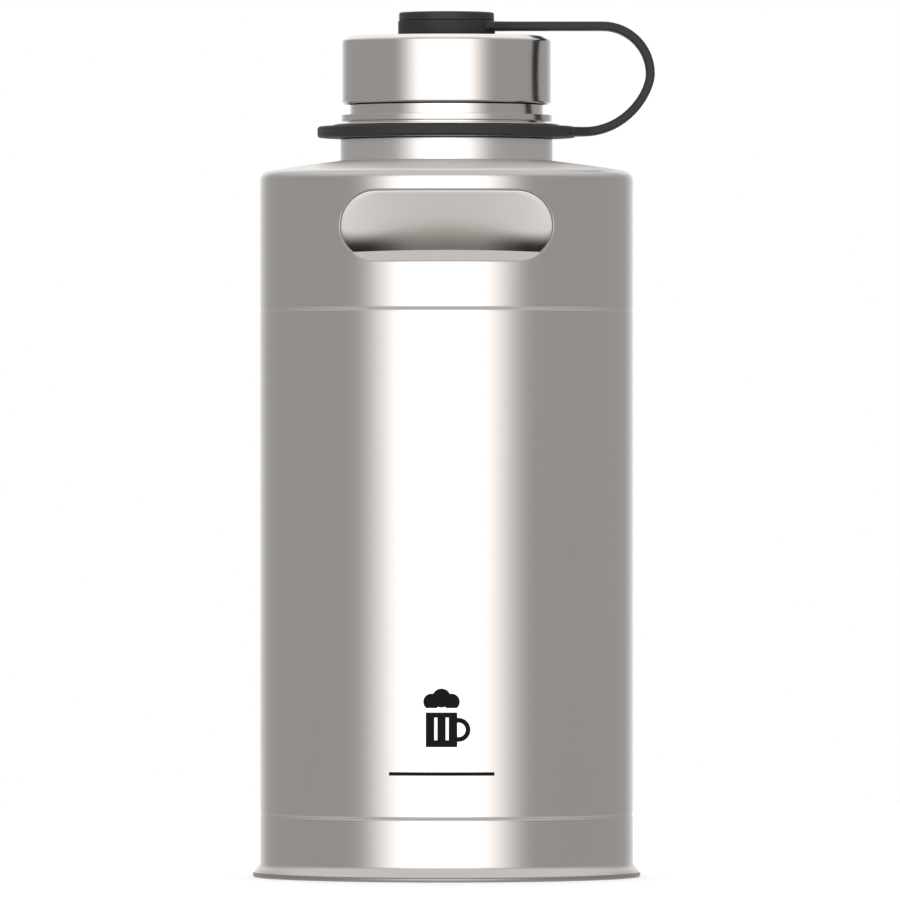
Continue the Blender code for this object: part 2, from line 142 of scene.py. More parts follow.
def steel_finish(name, roughness=0.2, grain=1.0, handled=1.0, patch=None):
    """Stainless steel brushed on a lathe: fine rings of grain, with the haze and marks of handling.

    patch is a second finish with its own colour, which here also carries painted shade and painted light:
    its share (0 to 1) at a place, colour, added roughness and metalness.
    """
    material = bpy.data.materials.new(name)
    nodes = Nodes(material)
    x, y, z = nodes.place()
    out = (x * x + y * y) ** 0.5
    along = z + 1.7 * out
    fine = nodes.noise(x * 18, y * 18, along * 9000, 3.0, 0.6)
    coarse = nodes.noise(x * 9, y * 9, along * 2100, 2.0)
    brushed = fine * 0.6 + coarse * 0.4 - 0.5
    haze = nodes.fade(nodes.noise(x * 28, y * 28, z * 20, 4.0, 0.62), 0.5, 0.78)
    marks = nodes.noise((x + y + z) * 2600, (x - y) * 90, (z - x - y) * 90, 1.0)
    marks = nodes.fade(marks, 0.76, 0.83) * nodes.fade(nodes.noise(x * 40, y * 40, z * 40), 0.5, 0.62)
    tint = nodes.noise(x * 7, y * 7, z * 5, 2.0)
    colour = nodes.blend(tint, rgb(0.618, 0.577, 0.548), rgb(0.60, 0.572, 0.55))
    colour = nodes.blend(haze * 0.05 * handled, colour, rgb(0.50, 0.48, 0.465))
    rough = roughness + brushed * 0.10 * grain + haze * 0.025 * handled + marks * 0.07 * handled
    height = brushed * grain - marks * 0.5 * handled
    metal = 1.0
    if patch:
        share_at, patch_colour, rougher, metalness = patch
        share = share_at(nodes, x, z, out)
        colour = nodes.blend(share, colour, patch_colour)
        rough = rough + share * rougher
        metal = 1.0 - share * (1.0 - metalness)
    nodes.fill(nodes.tree.nodes["Principled BSDF"], {
        "Base Color": colour, "Metallic": metal, "Roughness": rough,
        "Normal": nodes.bump(height, 0.00002, 0.35)})
    return material


def rounded(corners, closed=True):
    """A section of (radius, height, fillet) corners as points, with some that hold its flats flat."""
    corners = [(Vector(c[:2]), c[2] if len(c) > 2 else 0.0) for c in corners]
    points = []
    for i, (corner, fillet) in enumerate(corners):
        if not fillet or (not closed and i in (0, len(corners) - 1)):
            points.append(corner)
            continue
        back = corners[i - 1][0] - corner
        ahead = corners[(i + 1) % len(corners)][0] - corner
        bend = math.pi - back.angle(ahead)
        reach = min(fillet * math.tan(bend / 2), 0.48 * back.length, 0.48 * ahead.length)
        fillet = reach / math.tan(bend / 2)
        inward = (back.normalized() + ahead.normalized()).normalized()
        centre = corner + inward * fillet / math.cos(bend / 2)
        start = corner + back.normalized() * reach - centre
        side = 1 if ahead.cross(back) > 0 else -1
        steps = max(2, math.ceil(bend / math.radians(11)))
        points.append(corner + back.normalized() * (reach + min(0.3, (back.length - reach) / 4)))
        points += [centre + Matrix.Rotation(side * bend * k / steps, 2) @ start
                   for k in range(steps + 1)]
        points.append(corner + ahead.normalized() * (reach + min(0.3, (ahead.length - reach) / 4)))
    return points


WALL_STEPS = 256


def turned(points, steps=192):
    """A closed body made by spinning a section round the bottle's axis."""
    bm = bmesh.new()
    verts = [bm.verts.new((p[0], 0.0, p[1])) for p in points]
    edges = [bm.edges.new(pair) for pair in zip(verts, verts[1:])]
    if points[0][0] > 0.0 or points[-1][0] > 0.0:
        edges.append(bm.edges.new((verts[-1], verts[0])))
    bmesh.ops.spin(bm, geom=verts + edges, cent=(0, 0, 0), axis=(0, 0, 1), angle=math.tau,
                   steps=steps, use_merge=True)
    bmesh.ops.remove_doubles(bm, verts=bm.verts, dist=0.0005)
    bmesh.ops.recalc_face_normals(bm, faces=bm.faces)
    return bm


def finished(name, bm, material, crease=38):
    """The mesh in metres as an object, smooth but where it turns by more than the crease's degrees."""
    bmesh.ops.scale(bm, vec=(0.001, 0.001, 0.001), verts=bm.verts)
    mesh = bpy.data.meshes.new(name)
    bm.to_mesh(mesh)
    bm.free()
    mesh.shade_smooth()
    mesh.set_sharp_from_angle(angle=math.radians(crease))
    mesh.materials.append(material)
    piece = bpy.data.objects.new(name, mesh)
    bpy.context.scene.collection.objects.link(piece)
    return piece


wall_steel = steel_finish("wall_steel")


def painted_shade_foot_edge(nodes, x, z, out):
    """The foot's outer edge, made rougher and darkened as painted shade for the shadow where it meets the
    floor.
    """
    return nodes.fade(out, 0.0613, 0.0617) * nodes.fade(z, 0.0019, 0.0013)


foot_section = [(55.0, 0.0, 0.3), (62.1, 0.0, 0.6), (62.4, 0.7, 0.4), (62.4, 1.4, 0.5),
                (55.0, 1.4, 0.3)]
# The foot's outer edge gets a darker colour: painted shade for the contact shadow at the floor.
foot = finished("foot_lip", turned(rounded(foot_section), WALL_STEPS), steel_finish(
    "foot_steel", patch=(painted_shade_foot_edge, rgb(0.36, 0.345, 0.33), 0.2, 1.0)))
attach(foot, "vessel")
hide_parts("foot_ring")


# Underside: a steel pan with a recess, the soldered evacuation point in its middle, and the thin
# disc stuck over that point. The pan and the disc are pressings with a duller brushed finish.

pan_steel = steel_finish("pan_steel", roughness=0.3, grain=1.3, handled=1.6)

pan_section = [(2.0, 3.3, 0.2), (24.5, 3.3, 0.5), (25.5, 2.9, 0.5), (30.0, 2.9, 0.5), (31.0, 3.3, 0.5),
               (50.8, 3.3, 0.6), (53.2, 1.7, 0.6), (59.0, 1.7, 0.2), (59.0, 2.4), (53.4, 2.4, 0.6),
               (51.0, 4.0, 0.6), (31.2, 4.0), (30.2, 3.6), (25.3, 3.6), (24.3, 4.0), (2.0, 4.0, 0.2)]
pan = finished("bottom_pan", turned(rounded(pan_section)), pan_steel)
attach(pan, "vessel")
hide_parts("base_plate")

disc_section = [(0.0, 0.6), (19.0, 0.6, 1.0), (19.6, 0.75, 0.5), (20.6, 0.6, 0.5), (22.0, 0.6, 0.6),
                (22.0, 3.0, 0.2), (21.4, 3.0), (21.4, 1.2), (0.0, 1.2)]
disc = finished("evacuation_cover", turned(rounded(disc_section, closed=False)), pan_steel)
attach(disc, "vessel")
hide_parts("seal_cover_disc")

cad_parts["vacuum_seal_plug"].data.materials.clear()
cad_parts["vacuum_seal_plug"].data.materials.append(
    steel_finish("solder_plug_steel", roughness=0.42, grain=0.4, handled=2.0))


# Outer wall: three pressed shells of satin stainless steel. The base band flares out over the
# foot, the middle tube is plain, and the shoulder closes in to the neck. Their edges are rolled
# in a little where they butt, which leaves a soft groove at each seam.

WALL_R = 60.0
SKIN = 0.7
SEAM_DEPTH = 0.2
SEAM_W = 0.6
LOWER_SEAM = 20.1
UPPER_SEAM = 182.5
SEAM_HALF = 0.02
SEAM_R = WALL_R - SEAM_DEPTH

band_section = [(62.1, 1.55), (61.4, 2.5, 1.4), (WALL_R, 4.0, 2.4), (WALL_R, LOWER_SEAM - SEAM_W, 1.2),
                (SEAM_R, LOWER_SEAM - SEAM_HALF, 0.1), (WALL_R - SKIN, LOWER_SEAM - SEAM_HALF),
                (WALL_R - SKIN, 4.2, 3.0), (61.0, 1.55)]
band = finished("wall_base_band", turned(rounded(band_section), WALL_STEPS), wall_steel)
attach(band, "vessel")
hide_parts("base_band")

tube_section = [(WALL_R - SKIN, LOWER_SEAM + SEAM_HALF), (SEAM_R, LOWER_SEAM + SEAM_HALF, 0.1),
                (WALL_R, LOWER_SEAM + SEAM_W, 1.2), (WALL_R, UPPER_SEAM - SEAM_W, 1.2),
                (SEAM_R, UPPER_SEAM - SEAM_HALF, 0.1), (WALL_R - SKIN, UPPER_SEAM - SEAM_HALF)]
tube = finished("wall_tube", turned(rounded(tube_section), WALL_STEPS), wall_steel)
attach(tube, "vessel")
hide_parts("outer_body_shell")

SLOT_W = 34.3
SLOT_H = 11.7
SLOT_Z = 208.95


def slot_outline(half_w, half_h, arc_steps=32, flat_steps=30):
    """Points (x, z) round a slot with half-round ends, about the slot's middle."""
    flat = half_w - half_h
    points = []
    for side in (1, -1):
        for i in range(arc_steps):
            angle = math.pi * (i / arc_steps - 0.5)
            points.append((side * (flat + half_h * math.cos(angle)), side * half_h * math.sin(angle)))
        points += [(side * flat * (1 - 2 * i / flat_steps), side * half_h) for i in range(flat_steps)]
    return points


def combined(body, tool, operation):
    """Two closed meshes cut or joined by a Boolean, as one mesh again."""
    holders = []
    for bm in (body, tool):
        mesh = bpy.data.meshes.new("boolean_tool")
        bm.to_mesh(mesh)
        bm.free()
        holders.append(bpy.data.objects.new("boolean_tool", mesh))
        bpy.context.scene.collection.objects.link(holders[-1])
    modifier = holders[0].modifiers.new("boolean", "BOOLEAN")
    modifier.operation = operation
    modifier.object = holders[1]
    result = bmesh.new()
    result.from_object(holders[0], bpy.context.evaluated_depsgraph_get())
    for holder in holders:
        bpy.data.meshes.remove(holder.data)
    return result


slot_tool = bmesh.new()
slot_face = slot_tool.faces.new([slot_tool.verts.new((x, -70.0, SLOT_Z + z))
                                 for x, z in slot_outline(SLOT_W, SLOT_H)])
pushed = bmesh.ops.extrude_face_region(slot_tool, geom=[slot_face])["geom"]
bmesh.ops.translate(slot_tool, vec=(0.0, 40.0, 0.0),
                    verts=[v for v in pushed if isinstance(v, bmesh.types.BMVert)])
bmesh.ops.recalc_face_normals(slot_tool, faces=slot_tool.faces)

shoulder_section = [(WALL_R - SKIN, UPPER_SEAM + SEAM_HALF), (SEAM_R, UPPER_SEAM + SEAM_HALF, 0.1),
                    (WALL_R, UPPER_SEAM + SEAM_W, 1.2), (WALL_R, 226.7, 3.0), (50.0, 228.4, 50.0),
                    (34.13, 230.5, 0.1), (34.13, 229.8), (50.0, 227.7, 50.0),
                    (WALL_R - SKIN, 226.0, 2.3)]


def matt_painted_light_top(nodes, x, z, out):
    """The shoulder's gentle dome, rougher and less metallic than the wall, its colour paler as painted
    light for the brightness it shows.
    """
    return nodes.fade(z, 0.2262, 0.2272)


# The shoulder's dome gets a paler, less metallic patch: a matt finish, and painted light in its paler
# colour.
shoulder_bm = combined(turned(rounded(shoulder_section), WALL_STEPS), slot_tool, "DIFFERENCE")
shoulder = finished("wall_shoulder", shoulder_bm, steel_finish(
    "shoulder_steel", patch=(matt_painted_light_top, rgb(0.80, 0.785, 0.775), 0.25, 0.35)))
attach(shoulder, "vessel")
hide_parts("shoulder_shell")


# Finger pocket: a deep pressing welded into the shoulder's slot. It has a soft rolled lip, a steep
# bevel up to a level floor, and a back that leans out at its top, so fingers hook under it.
# Its lower corners, deep inside, are coloured near black as painted shade.

LIP_ROLL = 0.28
FLOOR_Z = -8.7
FLOOR_CROWN = 0.75
BEVEL_SLOPE = 0.55
BACK_Y = -43.0
BACK_LEAN = 0.265
BACK_LEAN_LOSS = 0.06
BACK_WRAP = 1.6
ROOF_RISE = 0.4

pocket_bm = bmesh.new()


def join_loop(bm, points, before=None):
    """A closed loop of edges through the points, bridged to the loop before it."""
    verts = [bm.verts.new(p) for p in points]
    edges = [bm.edges.new(pair) for pair in zip(verts, verts[1:] + verts[:1])]
    if before:
        bmesh.ops.bridge_loops(bm, edges=before + edges)
    return edges


def mouth(inset, radius):
    """The slot's outline, smaller by the inset, on a cylinder round the bottle's axis."""
    return [Vector((x, -math.sqrt(radius ** 2 - x ** 2), z))
            for x, z in slot_outline(SLOT_W - inset, SLOT_H - inset)]


def back_y(x, z):
    side = (x / SLOT_W) ** 2
    return BACK_Y - (BACK_LEAN - BACK_LEAN_LOSS * side) * z - BACK_WRAP * side


to_slot = Vector((0.0, 0.0, SLOT_Z))
lip = join_loop(pocket_bm, [p + to_slot for p in mouth(0.04, WALL_R - SKIN)])
for step in range(7):
    roll = math.radians(15 * step)
    rim = mouth(0.04 + LIP_ROLL * math.sin(roll), WALL_R - 0.04 - LIP_ROLL * (1 - math.cos(roll)))
    lip = join_loop(pocket_bm, [p + to_slot for p in rim], lip)
crest = []
for p in rim:
    floor_z = max(p.z, FLOOR_Z + FLOOR_CROWN * (1 - (p.x / SLOT_W) ** 2))
    crest.append(Vector((p.x, p.y + max(0.6, BEVEL_SLOPE * (floor_z - p.z)), floor_z)))
for share in (0.12, 0.5, 0.88, 1.0):
    lip = join_loop(pocket_bm, [p.lerp(c, share) + to_slot for p, c in zip(rim, crest)], lip)
corner = [Vector((c.x, back_y(c.x, c.z), c.z + ROOF_RISE * max(0.0, c.z) / SLOT_H)) for c in crest]
for share in (0.04, 0.35, 0.7, 0.96, 1.0):
    lip = join_loop(pocket_bm, [c.lerp(k, share) + to_slot for c, k in zip(crest, corner)], lip)
for share in (0.97, 0.88, 0.76, 0.64, 0.52, 0.4, 0.28, 0.16, 0.05):
    inner = [Vector((k.x * share, 0.0, k.z * share)) for k in corner]
    lip = join_loop(pocket_bm, [Vector((p.x, back_y(p.x, p.z), p.z)) + to_slot for p in inner], lip)
middle = bmesh.ops.contextual_create(pocket_bm, geom=lip)["faces"]
bmesh.ops.recalc_face_normals(pocket_bm, faces=pocket_bm.faces)
if middle[0].normal.y > 0:
    bmesh.ops.reverse_faces(pocket_bm, faces=pocket_bm.faces)


def painted_shade_pocket_corners(nodes, x, z, out):
    """Painted shade: deep in the pocket and low down, most of all towards its two ends."""
    deep = nodes.fade(out, 0.0578, 0.0562)
    low = nodes.fade(z, 0.2079, 0.2022)
    return deep * low * (0.34 + 0.62 * nodes.fade(abs(x), 0.009, 0.027))


# The pocket's patch is near-black painted shade in its deep lower corners.
pocket = finished("grip_pocket", pocket_bm, steel_finish(
    "pocket_steel", roughness=0.26, grain=0.4, patch=(painted_shade_pocket_corners, rgb(0.06, 0.055, 0.051), 0.2, 1.0)))
skin = pocket.modifiers.new("sheet", "SOLIDIFY")
skin.thickness = SKIN * 0.001
skin.offset = -1.0
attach(pocket, "vessel")
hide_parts("finger_pocket")


# Inner bottle: the drawn liner that holds the beer, with its dished bottom welded on and the
# getter clipped underneath. Food-grade steel, electro-polished inside, so its grain is faint.

liner_steel = steel_finish("liner_polished_steel", roughness=0.14, grain=0.25, handled=0.4)

liner_section = [(56.0, 14.3), (56.0, 177.5, 8.0), (37.5, 196.0, 6.0), (37.5, 218.0, 3.0),
                 (26.7, 228.8, 4.0), (26.7, 261.0, 0.3), (26.0, 261.0, 0.3), (26.0, 228.5, 4.0),
                 (36.8, 217.7, 3.0), (36.8, 195.7, 6.0), (55.3, 177.2, 8.0), (55.3, 14.3)]
liner = finished("beer_liner", turned(rounded(liner_section)), liner_steel)
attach(liner, "vessel")
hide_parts("inner_liner")

dish_section = [(0.0, 9.0), (12.0, 9.0, 30.0), (51.0, 9.0, 5.0), (56.0, 14.0, 0.2), (55.3, 14.0, 0.2),
                (50.7, 9.7, 4.0), (12.0, 9.7, 30.0), (0.0, 9.7)]
dish = finished("liner_dish", turned(rounded(dish_section, closed=False)), liner_steel)
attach(dish, "vessel")
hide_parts("liner_bottom")


def sintered_finish(name):
    """Pressed metal powder: dull grains with open pores."""
    material = bpy.data.materials.new(name)
    nodes = Nodes(material)
    x, y, z = nodes.place()
    grains = nodes.noise(x * 5200, y * 5200, z * 5200, 3.0, 0.7)
    pores = nodes.fade(grains, 0.42, 0.3)
    nodes.fill(nodes.tree.nodes["Principled BSDF"], {
        "Base Color": nodes.blend(pores, rgb(0.27, 0.26, 0.25), rgb(0.07, 0.068, 0.066)),
        "Metallic": 1.0, "Roughness": 0.55 + grains * 0.25,
        "Normal": nodes.bump(grains, 0.00008, 0.8)})
    return material


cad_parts["getter_tablet"].data.materials.clear()
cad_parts["getter_tablet"].data.materials.append(sintered_finish("getter_powder"))
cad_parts["getter_clip"].data.materials.clear()
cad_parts["getter_clip"].data.materials.append(
    steel_finish("clip_spring_steel", roughness=0.34, grain=0.8, handled=0.3))


# Neck collar: one turned steel part welded over the liner's neck. From below it has a plain
# cylinder, the tether's seat, the flange that keeps the ring down, a groove, a plain bead, a step
# for the lid's edge, and a rolled two-start thread up to the mouth.

THREAD_LEAD = 8.0
THREAD_STARTS = 2
THREAD_Z = 251.4
THREAD_STEPS = 240
RIDGE_HEIGHT = 1.45
RIDGE_HALF_W = 1.05
RIDGE_FLANK = 0.6
RIDGE_RUN_OUT = 0.11
MALE_ROOT = 28.6
MOUTH_Z = 261.0
THREAD_CREASE = 75


def thread_rise(angle, z, phase):
    """Height from 0 to 1 of the rolled ridges at an angle round the axis."""
    rise = 0.0
    for start in range(THREAD_STARTS):
        turn = (angle / math.tau - phase - start / THREAD_STARTS) % 1.0
        flank = (RIDGE_HALF_W - abs(z - THREAD_Z - THREAD_LEAD * turn)) / RIDGE_FLANK
        flank = max(0.0, min(1.0, flank))
        ends = min(1.0, turn / RIDGE_RUN_OUT, (1.0 - turn) / RIDGE_RUN_OUT)
        rise = max(rise, ends * flank * flank * (3 - 2 * flank))
    return rise


def add_thread(bm, root, height, phase):
    """Moves the vertices of a plain wall out, or in for a negative height, to the thread's ridges."""
    for v in bm.verts:
        radius = v.co.xy.length
        if abs(radius - root) < 0.001:
            rise = height * thread_rise(math.atan2(v.co.y, v.co.x), v.co.z, phase)
            v.co.xy *= (radius + rise) / radius


thread_wall = [(MALE_ROOT, 249.8 + 0.1 * i) for i in range(105)]
collar_section = [(34.1, 228.5), (34.1, 237.45, 0.25), (33.5, 237.7, 0.2), (33.5, 241.7, 0.1),
                  (36.4, 241.75, 0.2), (36.4, 242.3, 0.2), (32.0, 242.35, 0.1), (32.0, 243.1, 0.1),
                  (33.9, 243.15, 0.2), (33.9, 245.2, 0.12), (31.1, 245.2, 0.1), (31.1, 248.5, 0.2),
                  (29.2, 248.9, 0.4)]
collar_inside = [(28.3, MOUTH_Z, 0.25), (27.0, MOUTH_Z, 0.25), (27.0, 248.6, 1.0),
                 (31.0, 241.6, 1.0), (31.0, 228.5)]
collar_points = rounded(collar_section, closed=False) + thread_wall
collar_points += rounded(collar_inside, closed=False)
collar_bm = turned(collar_points, THREAD_STEPS)
add_thread(collar_bm, MALE_ROOT, RIDGE_HEIGHT, 0.0)


def satin_neck_painted_light(nodes, x, z, out):
    """The plain neck below the tether ring, brushed coarser than the turned steps above it, its colour
    paler as painted light for the extra light it shows.
    """
    return nodes.fade(z, 0.2388, 0.2378)


# The neck's patch is rougher and paler: the paler colour is painted light.
collar_steel = steel_finish("collar_steel", roughness=0.17, grain=0.7,
                            patch=(satin_neck_painted_light, rgb(0.68, 0.65, 0.625), 0.13, 1.0))
collar = finished("neck_turned_collar", collar_bm, collar_steel, THREAD_CREASE)
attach(collar, "vessel")
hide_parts("neck_collar")


# Lid: a drawn steel cap pressed over a moulded plastic core that carries the thread. A foam disc
# insulates between the two, and a silicone gasket in the core closes on the mouth.

lid_section = [(32.75, 248.8, 0.1), (33.1, 248.8, 0.3), (33.6, 249.3, 0.5), (33.6, 269.25, 0.8),
               (30.8, 270.6, 1.4), (4.6, 270.6, 0.2), (4.6, 269.9), (30.6, 269.9, 1.0),
               (32.9, 268.85, 0.8), (32.9, 249.9), (32.75, 249.6)]
lid = finished("lid_steel_cap", turned(rounded(lid_section), WALL_STEPS),
               steel_finish("lid_steel", roughness=0.17, grain=0.7))
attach(lid, "lid")
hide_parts("lid_shell")


def plastic_finish(name, colour, roughness=0.45):
    """Moulded plastic with the fine spark texture of its tool and faint flow marks."""
    material = bpy.data.materials.new(name)
    nodes = Nodes(material)
    x, y, z = nodes.place()
    spark = nodes.noise(x * 6500, y * 6500, z * 6500, 2.0, 0.6)
    flow = nodes.noise(x * 60, y * 60, z * 160, 3.0)
    scuffs = nodes.fade(nodes.noise(x * 300, y * 300, z * 300, 4.0, 0.7), 0.6, 0.75)
    pale = tuple(min(1.0, c * 1.5 + 0.004) for c in colour)
    nodes.fill(nodes.tree.nodes["Principled BSDF"], {
        "Base Color": nodes.blend(scuffs * 0.5 + flow * 0.25, rgb(*colour), rgb(*pale)),
        "Roughness": roughness + spark * 0.08 + scuffs * 0.06 + flow * 0.05,
        "Specular IOR Level": 0.45, "Normal": nodes.bump(spark, 0.00003, 0.7)})
    return material


FEMALE_ROOT = 30.7
core_thread = [(FEMALE_ROOT, 263.4 - 0.2 * i) for i in range(68)]
core_section = [(31.1, 249.3, 0.2), (32.6, 249.3, 0.4), (32.6, 266.8, 1.0), (7.0, 266.8, 0.2),
                (7.0, 269.6, 0.3), (2.3, 269.6), (2.3, 264.6), (FEMALE_ROOT, 264.6, 0.4)]
core_points = [Vector((FEMALE_ROOT, 249.7))] + rounded(core_section, closed=False)[:-1]
core_points += [Vector((FEMALE_ROOT, 264.6))] + [Vector(p) for p in core_thread[:-1]]
core_bm = turned(core_points, THREAD_STEPS)
add_thread(core_bm, FEMALE_ROOT, -RIDGE_HEIGHT, 0.5 / THREAD_STARTS)
core = finished("lid_threaded_core", core_bm, plastic_finish("core_plastic", (0.022, 0.022, 0.023)))
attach(core, "lid")
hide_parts("lid_core")


def foam_finish(name):
    """Closed-cell foam: pale, matt, with cells about a third of a millimetre across."""
    material = bpy.data.materials.new(name)
    nodes = Nodes(material)
    spot = nodes.add("ShaderNodeTexCoord", output="Object")
    cells = nodes.add("ShaderNodeTexVoronoi", sockets={"Vector": spot, "Scale": 3000.0})
    nodes.fill(nodes.tree.nodes["Principled BSDF"], {
        "Base Color": nodes.blend(cells, rgb(0.78, 0.77, 0.73), rgb(0.88, 0.88, 0.85)),
        "Roughness": 0.8 + cells * 0.15, "Normal": nodes.bump(cells, 0.0001, 0.8)})
    return material


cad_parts["lid_foam_disc"].data.materials.clear()
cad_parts["lid_foam_disc"].data.materials.append(foam_finish("lid_foam"))


def silicone_finish(name, colour, parting_z):
    """Moulded silicone: soft black with fine grain, a bloom of dust, and the mould's parting line."""
    material = bpy.data.materials.new(name)
    nodes = Nodes(material)
    x, y, z = nodes.place()
    grain = nodes.noise(x * 3800, y * 3800, z * 3800, 3.0, 0.6)
    bloom = nodes.noise(x * 45, y * 45, z * 45, 4.0, 0.65)
    dust = nodes.fade(nodes.noise(x * 900, y * 900, z * 900, 2.0), 0.70, 0.76)
    line = nodes.fade(abs(z - parting_z * 0.001), 0.00012, 0.00004)
    pale = tuple(c * 1.6 + 0.01 for c in colour)
    nodes.fill(nodes.tree.nodes["Principled BSDF"], {
        "Base Color": nodes.blend(bloom * 0.3 + dust * 0.35, rgb(*colour), rgb(*pale)),
        "Roughness": 0.5 + grain * 0.1 + bloom * 0.08 - line * 0.1,
        "Specular IOR Level": 0.4, "Normal": nodes.bump(grain * 0.4 + line, 0.00005, 0.8)})
    return material


gasket_section = [(26.0, 261.3, 0.6), (27.2, 261.3, 0.4), (27.5, 261.6, 0.3), (28.3, 261.6, 0.3),
                  (28.6, 261.3, 0.4), (30.2, 261.3, 0.6), (30.2, 264.3, 0.6), (26.0, 264.3, 0.6)]
gasket = finished("mouth_gasket", turned(rounded(gasket_section)),
                  silicone_finish("gasket_silicone_grain", (0.05, 0.05, 0.052), 262.8))
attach(gasket, "lid_seal")
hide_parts("lid_gasket")


# Swivel post: a black moulded mushroom on the lid that holds the tether's eye. It is fixed from
# inside by one stainless screw over a washer.

post_section = [(0.0, 278.05), (12.6, 278.15, 1.0), (13.2, 278.3, 0.5), (15.3, 278.3, 0.6),
                (15.3, 275.7, 0.2), (6.0, 275.7, 0.3), (6.0, 270.8, 0.2), (4.2, 270.8),
                (4.2, 269.9, 0.2), (2.3, 269.9), (2.3, 276.8), (0.0, 276.8)]
post = finished("swivel_mushroom", turned(rounded(post_section, closed=False)),
                plastic_finish("post_plastic", (0.017, 0.017, 0.0175), 0.42))
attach(post, "lid")
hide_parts("swivel_post")

washer_section = [(2.3, 263.5, 0.1), (5.0, 263.5, 0.2), (5.0, 264.3, 0.2), (2.3, 264.3, 0.1)]
washer = finished("post_washer", turned(rounded(washer_section), 96),
                  steel_finish("washer_steel", roughness=0.28, grain=0.5))
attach(washer, "lid")
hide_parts("screw_washer")

screw_section = [(0.0, 261.2), (3.3, 261.2, 0.5), (4.0, 261.9, 0.3), (4.0, 263.2, 0.1), (2.0, 263.2, 0.1),
                 (2.0, 276.3, 0.4), (0.0, 276.5)]
key_tool = bmesh.new()
bmesh.ops.create_cone(key_tool, cap_ends=True, segments=6, radius1=1.45, radius2=1.45, depth=3.0,
                      matrix=Matrix.Translation((0.0, 0.0, 261.2)))
screw = finished("post_socket_screw",
                 combined(turned(rounded(screw_section, closed=False), 96), key_tool, "DIFFERENCE"),
                 steel_finish("screw_steel", roughness=0.22, grain=0.4))
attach(screw, "lid")
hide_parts("post_screw")


# Tether: one black silicone moulding, a ring round the neck and an eye round the swivel post with
# a flat strap between them, bent in a loop at the side. The strap widens where it runs into both.

STRAP_W = 12.0
STRAP_T = 2.8
STRAP_TOP_Z = 273.85
STRAP_RING_Z = 239.9
STRAP_START_X = 12.0
TOP_STEPS = 16
BEND_X = 50.2
OUTER = (65.6, 258.5)
HANDLE = 0.5523
EYE_R = 15.6
RING_R = 41.6
RING_FLARE_X = 41.0


def strap_curve(knots, count):
    return interpolate_bezier(*[Vector((x, 0.0, z)) for x, z in knots], count)


strap_top = [Vector((STRAP_START_X + i * (BEND_X - STRAP_START_X) / TOP_STEPS, 0.0, STRAP_TOP_Z))
             for i in range(TOP_STEPS)]
upper_bend = strap_curve([(BEND_X, STRAP_TOP_Z), (BEND_X + (OUTER[0] - BEND_X) * HANDLE, STRAP_TOP_Z),
                          (OUTER[0], OUTER[1] + (STRAP_TOP_Z - OUTER[1]) * HANDLE), OUTER], 24)
lower_bend = strap_curve([OUTER, (OUTER[0], OUTER[1] - 6.0), (58.0, STRAP_RING_Z),
                          (44.0, STRAP_RING_Z)], 28)
strap_run = [Vector((x, 0.0, STRAP_RING_Z)) for x in (42.6, 41.6, 40.6, 39.4, 37.5)]
strap_line = strap_top + upper_bend + lower_bend[1:] + strap_run

strap_bm = bmesh.new()
strap_section = rounded([(-STRAP_W / 2, -STRAP_T / 2, 0.9), (STRAP_W / 2, -STRAP_T / 2, 0.9),
                         (STRAP_W / 2, STRAP_T / 2, 0.9), (-STRAP_W / 2, STRAP_T / 2, 0.9)])
strap_edges = None
for i, spot in enumerate(strap_line):
    ahead = strap_line[min(i + 1, len(strap_line) - 1)] - strap_line[max(i - 1, 0)]
    up = Vector((-ahead.z, 0.0, ahead.x)).normalized()
    to_eye = max(0.0, 1.0 - max(0.0, spot.x - EYE_R) / 7.0) if spot.z > OUTER[1] else 0.0
    to_ring = max(0.0, 1.0 - max(0.0, spot.x - RING_FLARE_X) / 8.0) if spot.z < OUTER[1] else 0.0
    flare = 1.0 + 0.55 * to_eye ** 2 + 0.9 * to_ring ** 2
    strap_edges = join_loop(strap_bm, [spot + Vector((0.0, side * flare, 0.0)) + up * lift
                                       for side, lift in strap_section], strap_edges)
bmesh.ops.holes_fill(strap_bm, edges=strap_bm.edges)
bmesh.ops.recalc_face_normals(strap_bm, faces=strap_bm.faces)

ring_section = [(33.9, 237.95, 0.5), (RING_R, 237.95, 0.9), (RING_R, 241.55, 0.9), (33.9, 241.55, 0.5)]
eye_section = [(6.4, 270.95, 0.4), (EYE_R, 270.95, 0.5), (EYE_R, 275.6, 0.35), (6.4, 275.6, 0.4)]
tether_bm = combined(strap_bm, turned(rounded(ring_section)), "UNION")
tether_bm = combined(tether_bm, turned(rounded(eye_section), 128), "UNION")
tether = finished("tether_moulding", tether_bm,
                  silicone_finish("tether_silicone", (0.016, 0.016, 0.0165), 239.75))
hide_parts("tether_neck_ring", "strap_lower", "strap_upper", "tether_eye")
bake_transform(tether)


# Printed sign: a plain mug with a line under it, printed in black ink low on the wall's front.
# The ink is a few hundredths of a millimetre thick and follows the wall's curve.

SIGN_X = -1.6
SIGN_Z = 50.0
CUTTER_DEPTH = 4.0
INK_PROUD = 0.02
INK_SUNK = 0.1


def slab(x0, x1, z0, z1, depth=2.0):
    """A thin upright block of ink, to be wrapped on the wall."""
    bm = bmesh.new()
    bmesh.ops.create_cube(bm, size=1.0)
    bmesh.ops.scale(bm, vec=(x1 - x0, depth, z1 - z0), verts=bm.verts)
    bmesh.ops.translate(bm, vec=((x0 + x1) / 2, 0.0, (z0 + z1) / 2), verts=bm.verts)
    return bm


def rod(x, z, radius, depth=2.0):
    """A round block of ink."""
    bm = bmesh.new()
    bmesh.ops.create_cone(bm, cap_ends=True, segments=48, radius1=radius, radius2=radius, depth=depth,
                          matrix=Matrix.Translation((x, 0.0, z)) @ Matrix.Rotation(math.pi / 2, 4, "X"))
    return bm


